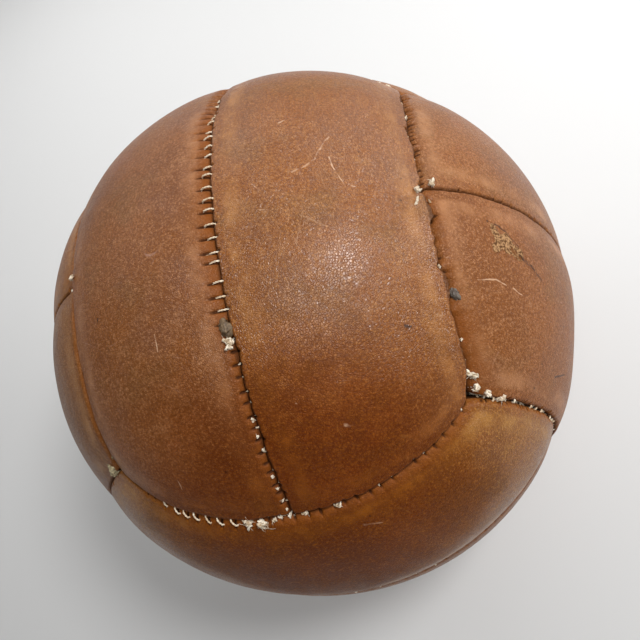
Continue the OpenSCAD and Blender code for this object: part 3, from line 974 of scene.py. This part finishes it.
def stitch_line(seam, angle, rng):
    """The thread's way over one stitch: out of the leather on side b, over the gap, and in on side a."""
    show, slant = float(seam.field("show", angle)), float(seam.field("slant", angle))
    tilt = math.degrees(slant / seam.arc_r) / 2
    a_in = float(seam.field("gap_a", angle) + seam.field("hold_a", angle)) + rng.normal(0, 0.15)
    b_in = float(seam.field("gap_b", angle) + seam.field("hold_b", angle)) + rng.normal(0, 0.25)
    sunk = -2.6 * (1 - show) + rng.normal(0, 0.1 + 0.5 * (1 - show))
    across = -b_in + OVER * (a_in + b_in) + seam.wander(angle)
    along = angle + (OVER - 0.5) * 2 * tilt + rng.normal(0, 0.08)
    r0, r1 = np.linalg.norm(on_leather(seam, along[[1, 6]], across[[1, 6]]), axis=1)
    base = seam.point(along, across, np.zeros(len(OVER))) / BALL_R
    bow = 0.25 * np.sin(math.pi * OVER)
    return base * (r0 + (r1 - r0) * OVER + OVER_HEIGHT + bow + sunk)[:, None]


# Where wax fills the seam and no stitch shows, in degrees along it
BARE = {"top_middle": (-24.5, -19.2)}
NOWHERE = (99, 99)


def build_thread(seam):
    heap = Heap()
    rng = np.random.default_rng(900 + sorted(SEAMS).index(seam.name))
    skip_low, skip_high = BARE.get(seam.name, NOWHERE)
    sewn = [angle for angle in seam.stitches if not skip_low < angle < skip_high]
    line = spline(np.concatenate([stitch_line(seam, angle, rng) for angle in sewn]), 3)
    heap.strand(line, THREAD_R)
    hand_in(heap.object(seam.thread_node.replace("_seam", "_seam_stitch"), THREAD), "thread", seam.thread_node)


for seam in SEAMS.values():
    build_thread(seam)


def at_place(polar, azimuth, turn):
    """A spot on the leather, and three directions there. The first lies along it, turned from the way down
    towards the left, the second lies across that one, and the third points outward."""
    n, down = polar_direction(polar, azimuth), polar_direction(polar + 90, azimuth)
    side = np.cross(n, down)
    c, q = math.cos(math.radians(turn)), math.sin(math.radians(turn))
    return n * (BALL_R + surface(n[None])[0][0]), c * down + q * side, c * side - q * down, n


def tuft(heap, polar, azimuth, size, turn, loops, fibres, thick, rng):
    """A clump of tangled thread ends. size is its length, width and height, and turn the way its length lies."""
    spot, long, wide, n = at_place(polar, azimuth, turn)
    axes = np.array([long * size[0] / 2, wide * size[1] / 2, n * size[2]])
    for _ in range(loops):
        way = rng.uniform(-1, 1, (6, 3)) * (0.9, 0.9, 0.5) + (0, 0, 0.45)
        way[0, 2] = way[-1, 2] = -1.2
        heap.strand(spline(spot + way @ axes, 5), thick * rng.uniform(0.8, 1.15), 5)
    for _ in range(fibres):
        start = rng.uniform(-0.8, 0.8, 3) * (1, 1, 0.3) + (0, 0, 0.3)
        lean = rng.normal(0, 1, 3) * (0.8, 0.9, 0.25) + (0, 0, 0.25)
        way = [start - 0.2 * lean, start, start + 0.5 * lean, start + 0.9 * lean + rng.normal(0, 0.2, 3)]
        line = spline(spot + np.array(way) @ axes, 3)
        heap.tube(line, np.linspace(0.13, 0.05, len(line)), 4)


PLUG_ROWS, PLUG_COLS = 20, 32


def plug(heap, polar, azimuth, size, turn, sink, rng):
    """A pressed lump of wax, sunk into the seam by so many millimetres."""
    spot, long, wide, n = at_place(polar, azimuth, turn)
    ball = rings(np.linspace(0, math.pi, PLUG_ROWS + 2)[1:-1], PLUG_COLS)
    ball = np.concatenate([ball.reshape(-1, 3), [[0, 0, 1], [0, 0, -1]]])
    shift = rng.uniform(0, 50, 3)
    waves = ((1.3, 0.32), (3.4, 0.2))
    lumps = [sum(noise.noise(Vector(v * often + shift)) * high for often, high in waves) for v in ball]
    ball = ball * (1 + np.array(lumps))[:, None]
    axes = np.array([long * size[0] / 2, wide * size[1] / 2, n * size[2] / 2])
    first = heap.count
    top = first + PLUG_ROWS * PLUG_COLS
    last = top - PLUG_COLS
    faces = bands(PLUG_ROWS, PLUG_COLS, first)
    turned = [(x, (x + 1) % PLUG_COLS) for x in range(PLUG_COLS)]
    faces += [[first + x, first + y, top] for x, y in turned]
    faces += [[last + y, last + x, top + 1] for x, y in turned]
    heap.add(spot + ball @ axes + n * (size[2] / 2 - sink - 0.5), faces)


FRONT_BITS = (-94.2, -92.6, -90.6, -87.4, -84.2, -80.0)
MIDDLE_BITS = ((35.7, 2.4), (38.4, 1.3), (40.9, 1.2), (45.9, 1.5), (48.5, 1.2), (51.1, 1.2), (53.3, 1.4))
# Frayed ends and knots: polar angle and azimuth; length, width and height; turn, or the limits of a random one;
# loops, fibres and the thread's thickness
FRAYS = [
    # the seam round the front of the top face: a frayed run of thread ends, then small bits
    (55.4, -99.8, (3.4, 4.6, 1.9), 90, 5, 16, 0.48),
    (55.6, -96.6, (3.4, 4.8, 1.8), 90, 5, 14, 0.46),
    *((55.0, azimuth, (2.2, 1.7, 1.1), (0, 180), 2, 4, 0.36) for azimuth in FRONT_BITS),
    # the right corner
    (49.9, -39.9, (4.0, 1.8, 1.4), 10, 4, 8, 0.44),
    (52.3, -41.5, (6.4, 2.2, 1.7), 10, 7, 12, 0.46),
    (54.6, -43.0, (3.6, 2.8, 1.5), 30, 5, 8, 0.46),
    (57.0, -42.4, (2.6, 2.2, 1.5), 0, 4, 4, 0.46),
    (60.3, -41.2, (3.0, 1.8, 1.5), 80, 4, 4, 0.46),
    *((*place, (1.4, 1.0, 0.8), 0, 2, 3, 0.30) for place in ((47.3, -36.6), (41.6, -29.0), (38.7, -23.4))),
    # the left corner
    (56.2, -137.2, (5.4, 3.2, 1.5), 30, 8, 10, 0.40),
    (52.0, -136.6, (1.6, 1.2, 0.8), 40, 2, 3, 0.30),
    # where the right face's middle seam meets the top, and the torn lip beside it
    (37.4, 1.6, (3.4, 2.0, 1.4), 60, 4, 8, 0.40),
    (33.9, -2.3, (2.8, 2.4, 1.1), 20, 4, 4, 0.38),
    (33.6, -6.0, (5.2, 0.9, 0.7), 74, 3, 1, 0.28),
    (40.4, 27.4, (3.0, 1.0, 0.8), 30, 3, 5, 0.28),
    (45.0, 35.4, (1.2, 1.0, 0.8), 30, 2, 3, 0.28),
    # where the left face's middle seam meets the top
    (34.4, 178.4, (2.8, 2.0, 1.3), 0, 4, 5, 0.40),
    (37.4, 180.0, (1.8, 1.6, 1.1), 0, 2, 3, 0.38),
    # below the wax in the top face's middle seam, and bits down the rest of it
    (22.9, -91.8, (4.6, 2.8, 1.8), 0, 6, 3, 0.46),
    *((polar, -90.6, (0.85 * length, 0.9, 0.7), (-30, 30), 2, 3, 0.24) for polar, length in MIDDLE_BITS),
]
# Wax plugs: polar angle and azimuth; length, width and height; turn; how far sunk
PLUGS = [(20.6, -92.0, (6.0, 4.2, 2.8), 10, 0.1), (43.1, -28.1, (5.6, 3.4, 2.2), -20, 0.7)]


def build_knots():
    rng, wax_rng = np.random.default_rng(4242), np.random.default_rng(31)
    knots, wax = Heap(), Heap()
    for polar, azimuth, size, turn, *rest in FRAYS:
        tuft(knots, polar, azimuth, size, rng.uniform(*turn) if isinstance(turn, tuple) else turn, *rest, rng)
    hand_in(knots.object("frayed_thread_knots", TUFT), "thread", "seam_knots")
    for row in PLUGS:
        plug(wax, *row, wax_rng)
    hand_in(wax.object("pressed_wax_plugs", WAX), "wax", "wax_plugs")


build_knots()

# ---------------- what lies inside the leather


def shell(n, top, bottom):
    """A closed thick sheet over a grid of directions, between two heights."""
    rows, cols = n.shape[:2]
    upper = ((BALL_R + top)[..., None] * n).reshape(-1, 3)
    lower = ((BALL_R + bottom)[..., None] * n).reshape(-1, 3)
    index = np.arange(rows * cols).reshape(rows, cols)
    quads = np.stack([index[:-1, :-1], index[:-1, 1:], index[1:, 1:], index[1:, :-1]], -1).reshape(-1, 4)
    ring = index[around(rows, cols)]
    wall = np.stack([np.roll(ring, -1), ring, ring + rows * cols, np.roll(ring, -1) + rows * cols], 1)
    faces = np.concatenate([quads, quads[:, ::-1] + rows * cols, wall])
    if looks_in(upper[quads[len(quads) // 2]]):
        faces = faces[:, ::-1]
    return np.concatenate([upper, lower]), faces.tolist()


# In millimetres: the lining's distance from a seam and its gap behind the leather, the hair's depth below the ball
# and how much deeper it lies at a seam, the gap round the core, and the width and depth of the core's rag strips
LINING_INSET, LINING_GAP = 5.5, 0.3
HAIR_DEPTH, HAIR_GROOVE = 5.2, 6.5
CORE_GAP = 1.5
RAG_HALF_W, RAG_DEPTH, RAG_WINDS = 7, 3.0, 9
LINING_ROWS, LINING_COLS = 64, 24


def build_lining(strip):
    d, v = np.linspace(LINING_INSET, STRIP_W - LINING_INSET, LINING_COLS), np.linspace(-1, 1, LINING_ROWS)
    a = np.broadcast_to(np.sin(d / BALL_R), (LINING_ROWS, LINING_COLS))
    n = strip.direction(a, v[:, None] * strip.phi_at(a, LINING_INSET + 0.5))
    top = unevenness(n) - 0.5 * PILLOW_DEPTH - LEATHER_T - LINING_GAP
    verts, faces = shell(n, top, top - LINING_T)
    name = strip.name.replace("_strip", "_canvas_lining")
    obj = mesh_object(name, settle(verts, LEATHER_T + LINING_GAP), faces, CANVAS)
    hand_in(obj, "canvas", strip.name.replace("_strip", "_lining"))


def globe(rows, cols):
    """Directions all over, and faces that close at the two ends."""
    faces = bands(rows, cols)
    faces += [list(range(cols)), list(range((rows - 1) * cols, rows * cols))[::-1]]
    return rings((np.arange(rows) + 0.5) * math.pi / rows, cols), faces


def build_inside():
    for strip in STRIPS:
        build_lining(strip)
    n, faces = globe(130, 260)
    nearest = surface(n)[1]
    h = unevenness(n) - HAIR_DEPTH - HAIR_GROOVE * np.exp(-((nearest / 5.0) ** 4))
    core_r = (core_high.x - core_low.x) / 2 / MM
    outer = on_ball(n, h, LEATHER_T + LINING_T + 1)
    coarse = n[::4, ::4]
    hollow = ((core_r + CORE_GAP) * coarse).reshape(-1, 3) + CENTRE
    faces += [[len(outer) + i for i in f][::-1] for f in globe(*coarse.shape[:2])[1]]
    hair = mesh_object("hair_stuffing", np.concatenate([outer, hollow]), faces, HAIR)
    hand_in(hair, "hair", "stuffing")
    n, faces = globe(90, 180)
    rng = np.random.default_rng(77)
    r = np.full(n.shape[:2], core_r - RAG_DEPTH)
    for _ in range(RAG_WINDS):
        axis = rng.normal(0, 1, 3)
        away = np.abs(n @ (axis / np.linalg.norm(axis))) * core_r
        r += (1 - smooth(away, RAG_HALF_W, RAG_HALF_W + 1.5)) * (0.5 + 0.15 * np.cos(away * 1.3))
    core = (np.minimum(r, core_r - 0.2)[..., None] * n).reshape(-1, 3) + CENTRE
    hand_in(mesh_object("wound_rag_core", core, faces, RAGS), "rags", "rag_core")


build_inside()

# ---------------- camera, light and floor

VIEW_DISTANCE = 2.8056 * BALL_R
VIEW_BACK = Vector((0.2172, -0.4061, 0.8876)).normalized()
VIEW_UP = Vector((0.2321, 0.9047, 0.3572))
LENS_MM, SENSOR_MM, SHIFT = 38.83, 36, (0.0091, 0.0210)
WINDOW_SIDE = (0.25, 0.80, 0.54)
FLOOR_HALF = 3.0  # in metres
# The floor's colour is painted light: dimmer towards -X and -Y, brighter towards +X and +Y
FLOOR_PAINTED_SHADE, FLOOR_PAINTED_LIGHT = (0.67, 0.67, 0.665), (0.81, 0.81, 0.805)
# Name, azimuth, elevation, distance and size in metres, power in watts
LIGHTS = [
    ("key", 88, 62, 1.1, 0.32, 6.5),
    ("side_fill", 80, 25, 1.1, 0.5, 2.6),
    ("overhead", 160, 66, 1.0, 0.5, 2.7),
    ("left_fill", -60, 30, 1.1, 0.5, 1.5),
    ("window_left", -20, 25, 0.55, 0.5, 0.65),
    ("window_right", 35, 25, 0.55, 0.5, 0.85),
]


def make_camera():
    camera = placed("camera", bpy.data.cameras.new("camera"))
    right = VIEW_UP.cross(VIEW_BACK).normalized()
    turned = Matrix((right, VIEW_BACK.cross(right), VIEW_BACK)).transposed().to_4x4()
    camera.matrix_world = Matrix.Translation(Vector(CENTRE * MM) + VIEW_BACK * VIEW_DISTANCE * MM) @ turned
    camera.data.sensor_width, camera.data.lens = SENSOR_MM, LENS_MM
    camera.data.shift_x, camera.data.shift_y = SHIFT
    camera.data.clip_start = 0.01
    bpy.context.scene.camera = camera


def area_light(name, azimuth, elevation, distance, size, power):
    """A soft disc aimed at the ball. Azimuth turns from +Y towards +X."""
    light = bpy.data.lights.new(name, "AREA")
    light.shape = "DISK"
    light.size, light.energy = size, power
    obj = placed(name, light)
    a, e = math.radians(azimuth), math.radians(elevation)
    d = Vector((math.sin(a) * math.cos(e), math.cos(a) * math.cos(e), math.sin(e)))
    obj.location = Vector(CENTRE * MM) + d * distance
    obj.rotation_euler = d.to_track_quat("Z", "Y").to_euler()
    obj.visible_camera = False


def make_floor():
    mesh = bpy.data.meshes.new("floor")
    s = FLOOR_HALF
    mesh.from_pydata([(-s, -s, 0), (s, -s, 0), (s, s, 0), (-s, s, 0)], [], [(0, 1, 2, 3)])
    g = Graph("pale_floor")
    # painted light falloff across the floor
    shade = g.ramp(g.toward(g.place, (0.5, 0.87, 0)), -0.3, 0.3)
    mesh.materials.append(g.finish(g.mix(shade, FLOOR_PAINTED_SHADE, FLOOR_PAINTED_LIGHT), 0.7, specular=0.2))
    floor = placed("floor", mesh)


def make_world():
    """A soft surround, brighter on the window's side and overhead than behind the camera."""
    world = bpy.data.worlds.new("studio")
    bpy.context.scene.world = world
    world.use_nodes = True
    nodes, links = world.node_tree.nodes, world.node_tree.links
    toward, level = nodes.new("ShaderNodeVectorMath"), nodes.new("ShaderNodeMapRange")
    toward.operation, level.interpolation_type = "DOT_PRODUCT", "SMOOTHSTEP"
    toward.inputs[1].default_value = WINDOW_SIDE
    for name, number in {"From Min": -0.6, "From Max": 1.0, "To Min": 0.03, "To Max": 0.12}.items():
        level.inputs[name].default_value = number
    background = nodes["Background"].inputs
    links.new(nodes.new("ShaderNodeTexCoord").outputs["Generated"], toward.inputs[0])
    links.new(toward.outputs["Value"], level.inputs["Value"])
    links.new(level.outputs["Result"], background["Strength"])
    background["Color"].default_value = (1, 1, 1, 1)


make_camera()
make_floor()
make_world()
for lamp in LIGHTS:
    area_light(*lamp)
bpy.context.scene.view_settings.view_transform = "Standard"
